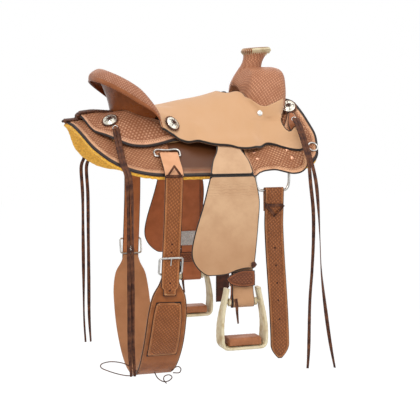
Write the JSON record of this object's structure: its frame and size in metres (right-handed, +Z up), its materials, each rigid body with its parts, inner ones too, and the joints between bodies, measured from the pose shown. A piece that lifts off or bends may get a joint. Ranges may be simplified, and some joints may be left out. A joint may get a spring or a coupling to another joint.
{
  "type": "western saddle",
  "caption": "Wade western saddle with slick fork, duck horn cap, round skirts, hanging fenders and stirrups, front billet and latigo, flank cinch and saddle strings.",
  "frame": {"origin": "On the centre line, halfway along the bars, where the ridge of the horse's back meets the seat; the saddle rests on the horse's back there.", "axes": "+X towards the horse's head, -Y the off (right) side, +Z up"},
  "size_m": [0.7245, 0.539, 0.9348],
  "materials": {
    "russet_leather": "tooled, satin",
    "roughout_leather": "roughout, matt",
    "flesh_leather": "flesh side, matt",
    "burgundy_leather": "oiled latigo, satin",
    "fleece": "woolly, matt",
    "wood": "bare",
    "rawhide": "varnished rawhide",
    "steel": "satin",
    "silver": "polished, engraved"
  },
  "bodies": {
    "saddle": {"cantle_back": "russet_leather", "cantle_board": "wood", "cantle_roll": "russet_leather", "concho_front_near": "silver", "concho_front_off": "silver", "concho_rear_near": "silver", "concho_rear_off": "silver", "concho_seat_near": "silver", "concho_seat_off": "silver", "fleece_near": "fleece", "fleece_off": "fleece", "fork_cover": "russet_leather", "front_dee_near": "steel", "front_dee_off": "steel", "ground_seat": "flesh_leather", "horn_cap": "rawhide", "horn_neck": "russet_leather", "rear_dee_near": "steel", "rear_dee_off": "steel", "rear_jockey_near": "russet_leather", "rear_jockey_off": "russet_leather", "rigging_plate_near": "russet_leather", "rigging_plate_off": "russet_leather", "seat": "roughout_leather", "skirt_near": "russet_leather", "skirt_off": "russet_leather", "string_front_off_fore": "burgundy_leather", "string_front_off_rear": "burgundy_leather", "string_rear_near_fore": "burgundy_leather", "string_rear_near_rear": "burgundy_leather", "string_rear_off_fore": "burgundy_leather", "string_rear_off_rear": "burgundy_leather", "tree_bar_near": "wood", "tree_bar_off": "wood", "tree_fork": "wood"},
    "leather_off": {"leather_neck_off": "roughout_leather"},
    "leg_off": {"fender_off": "roughout_leather", "stirrup_leather_off": "roughout_leather", "hobble_strap_off": "russet_leather", "plate_buckle_off": "steel"},
    "stirrup_off": {"stirrup_frame_off": "rawhide", "stirrup_tread_off": "russet_leather"},
    "flank_rig": {"flank_billet_off": "burgundy_leather", "flank_buckle_off": "silver", "flank_billet_near": "burgundy_leather", "flank_buckle_near": "silver", "flank_cinch": "russet_leather"},
    "tongue_off": {"buckle_tongue_off": "silver"},
    "breast_ring_off": {"breast_dee_off": "silver"},
    "leather_near": {"leather_neck_near": "roughout_leather"},
    "leg_near": {"fender_near": "roughout_leather", "stirrup_leather_near": "roughout_leather", "hobble_strap_near": "russet_leather", "plate_buckle_near": "steel"},
    "stirrup_near": {"stirrup_frame_near": "rawhide", "stirrup_tread_near": "russet_leather"},
    "tongue_near": {"buckle_tongue_near": "silver"},
    "breast_ring_near": {"breast_dee_near": "silver"},
    "billet": {"off_billet": "russet_leather"},
    "latigo_strap": {"latigo": "burgundy_leather"}
  },
  "joints": [
    {"name": "leather_swing_off", "type": "hinge", "parent": "saddle", "child": "leather_off", "pos_m": [0.0917, -0.1, -0.0356], "axis": [0, -0.6427, 0.7662], "range_deg": [-6, 6]},
    {"name": "leg_lift_off", "type": "hinge", "parent": "leather_off", "child": "leg_off", "pos_m": [0.0917, -0.2485, -0.1177], "axis": [-1, 0, 0], "range_deg": [0, 60]},
    {"name": "stirrup_tilt_off", "type": "hinge", "parent": "leg_off", "child": "stirrup_off", "pos_m": [0.104, -0.2405, -0.463], "axis": [-1, 0, 0], "range_deg": [-35, 35]},
    {"name": "leather_swing_near", "type": "hinge", "parent": "saddle", "child": "leather_near", "pos_m": [0.0917, 0.1, -0.0356], "axis": [0, -0.6427, -0.7662], "range_deg": [-6, 6]},
    {"name": "leg_lift_near", "type": "hinge", "parent": "leather_near", "child": "leg_near", "pos_m": [0.0917, 0.2485, -0.1177], "axis": [1, 0, 0], "range_deg": [0, 60]},
    {"name": "stirrup_tilt_near", "type": "hinge", "parent": "leg_near", "child": "stirrup_near", "pos_m": [0.104, 0.2405, -0.463], "axis": [1, 0, 0], "range_deg": [-35, 35]},
    {"name": "off_billet_swing", "type": "hinge", "parent": "saddle", "child": "billet", "pos_m": [0.21, -0.198, -0.165], "axis": [-1, 0, 0], "range_deg": [-10, 60]},
    {"name": "latigo_swing", "type": "hinge", "parent": "saddle", "child": "latigo_strap", "pos_m": [0.1955, 0.198, -0.165], "axis": [1, 0, 0], "range_deg": [-10, 60]},
    {"name": "flank_cinch_swing", "type": "hinge", "parent": "saddle", "child": "flank_rig", "pos_m": [-0.0941, 0, -0.0664], "axis": [0, -1, 0], "range_deg": [-1.5, 1.5]},
    {"name": "buckle_tongue_off_hinge", "type": "hinge", "parent": "flank_rig", "child": "tongue_off", "pos_m": [-0.0925, -0.2169, -0.381], "axis": [1, 0, 0], "range_deg": [0, 30]},
    {"name": "breast_dee_off_hinge", "type": "hinge", "parent": "saddle", "child": "breast_ring_off", "pos_m": [0.3355, -0.169, -0.0361], "axis": [-0.9989, 0.0382, -0.0284], "range_deg": [0, 100]},
    {"name": "buckle_tongue_near_hinge", "type": "hinge", "parent": "flank_rig", "child": "tongue_near", "pos_m": [-0.0925, 0.2169, -0.381], "axis": [-1, 0, 0], "range_deg": [0, 30]},
    {"name": "breast_dee_near_hinge", "type": "hinge", "parent": "saddle", "child": "breast_ring_near", "pos_m": [0.3355, 0.169, -0.0361], "axis": [0.9989, 0.0382, 0.0284], "range_deg": [0, 100]}
  ]
}
